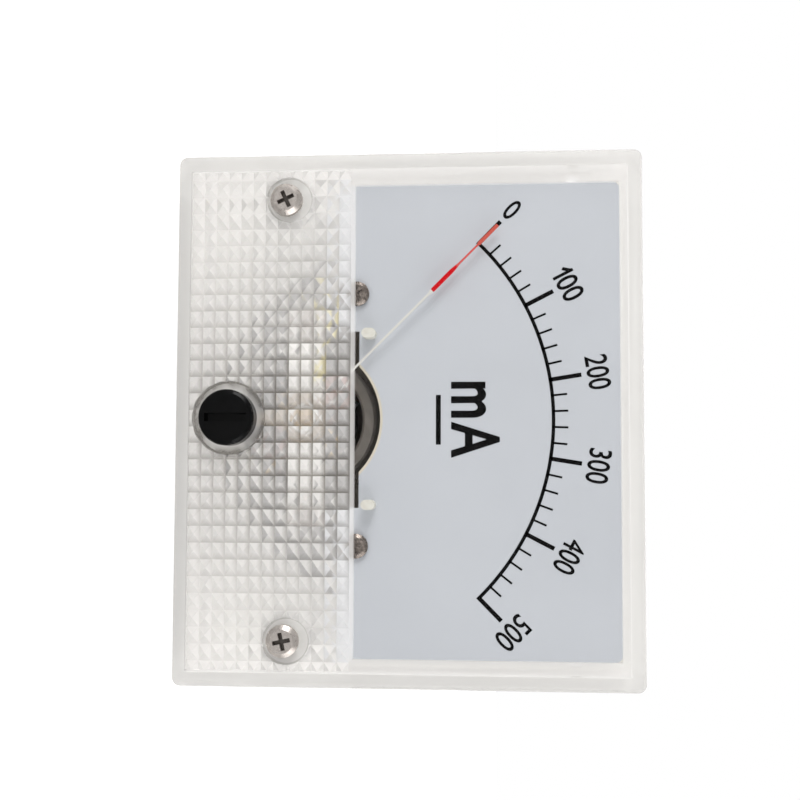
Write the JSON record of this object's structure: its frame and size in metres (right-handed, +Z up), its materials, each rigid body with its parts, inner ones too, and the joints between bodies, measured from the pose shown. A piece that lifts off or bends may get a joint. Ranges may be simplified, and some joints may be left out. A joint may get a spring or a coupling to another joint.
{
  "type": "analog panel meter",
  "caption": "Moving-coil DC milliammeter with a clear cover, for a round panel hole; scale 0 to 500 mA, pointer and zero adjuster move.",
  "frame": {"origin": "on the barrel's axis, in the plane of the flange's back face, which seats on the panel", "axes": "+Y along the barrel away from the reader, +X to the reader's right, +Z up the dial"},
  "size_m": [0.064, 0.0579, 0.056],
  "materials": {
    "clear_cover": "clear moulded styrene, pyramid-textured below the window",
    "white_moulding": "white moulded plastic",
    "dial_print": "sheet coated pale blue-grey and printed",
    "cream_rubber": "soft cream sleeve",
    "frame_moulding": "moulded, grey",
    "bridge_metal": "die cast, bright",
    "ring_steel": "soft iron, dull",
    "magnet": "ground magnet alloy",
    "spacer_brass": "plain",
    "screw_steel": "nickel plated",
    "jewel_brass": "turned",
    "coil_strip": "thin strip",
    "coil_copper": "enamelled copper wire, copper-brown",
    "pivot_steel": "hardened and polished",
    "pointer_paint": "bare needle, red from the lance to the tip",
    "balance_metal": "stamped",
    "weight_brass": "plain",
    "spring_bronze": "phosphor bronze",
    "black_plastic": "black, semi-gloss",
    "retainer_steel": "spring steel",
    "lever_brass": "stamped",
    "terminal_brass": "machined",
    "tinned_metal": "tinned",
    "shunt_alloy": "manganin, dull copper-brown",
    "yellow_wire": "soft yellow insulation"
  },
  "bodies": {
    "case": {"front_cover": "clear_cover", "base_housing": "white_moulding", "dial_plate": "dial_print", "pointer_stop_left": "cream_rubber", "pointer_stop_right": "cream_rubber", "movement_frame": "frame_moulding", "front_bridge": "bridge_metal", "steel_ring": "ring_steel", "magnet_core": "magnet", "core_spacer_left": "spacer_brass", "core_spacer_right": "spacer_brass", "cover_screw_left": "screw_steel", "cover_screw_right": "screw_steel", "dial_screw_left": "screw_steel", "dial_screw_right": "screw_steel", "frame_screw_left": "screw_steel", "frame_screw_right": "screw_steel", "bridge_screw_left": "screw_steel", "bridge_screw_right": "screw_steel", "mounting_stud_left": "screw_steel", "mounting_stud_right": "screw_steel", "mounting_washer_left": "screw_steel", "mounting_washer_right": "screw_steel", "mounting_nut_left": "screw_steel", "mounting_nut_right": "screw_steel", "jewel_screw_front": "jewel_brass", "jewel_screw_rear": "jewel_brass", "hairspring_rear": "spring_bronze", "rear_spring_tag": "spring_bronze", "terminal_stud_positive": "terminal_brass", "terminal_stud_negative": "terminal_brass", "terminal_lock_nut_positive": "terminal_brass", "terminal_lock_nut_negative": "terminal_brass", "terminal_nut_positive": "terminal_brass", "terminal_nut_negative": "terminal_brass", "terminal_washer_positive": "tinned_metal", "terminal_washer_negative": "tinned_metal", "solder_lug_positive": "tinned_metal", "solder_lug_negative": "tinned_metal", "shunt_strip": "shunt_alloy", "lead_positive": "yellow_wire", "lead_negative": "yellow_wire"},
    "coil_system": {"coil_former": "coil_strip", "coil_winding": "coil_copper", "pivot_front": "pivot_steel", "pivot_rear": "pivot_steel", "pointer": "pointer_paint", "balance_cross": "balance_metal", "balance_weight_left": "weight_brass", "balance_weight_right": "weight_brass", "balance_weight_tail": "weight_brass"},
    "adjuster": {"zero_adjuster": "black_plastic", "adjuster_retainer": "retainer_steel"},
    "spring_lever": {"zero_lever": "lever_brass", "hairspring_front": "spring_bronze"}
  },
  "joints": [
    {"name": "pointer_swing", "type": "hinge", "parent": "case", "child": "coil_system", "pos_m": [0, 0, -0.0127], "axis": [0, 1, 0], "range_deg": [-3.5, 93.5], "stiffness_Nm_per_rad": 0.0001, "deforming": ["hairspring_rear", "hairspring_front"]},
    {"name": "zero_turn", "type": "hinge", "parent": "case", "child": "adjuster", "pos_m": [0, -0.014, -0.0216], "axis": [0, 1, 0], "range_deg": [-40, 40]},
    {"name": "lever_turn", "type": "hinge", "parent": "case", "child": "spring_lever", "pos_m": [0, -0.012, -0.0127], "axis": [0, 1, 0], "range_deg": [-4.9, 4.9]}
  ],
  "couplings": [
    {"joint": "lever_turn", "follows": "zero_turn", "ratio": -0.117}
  ]
}
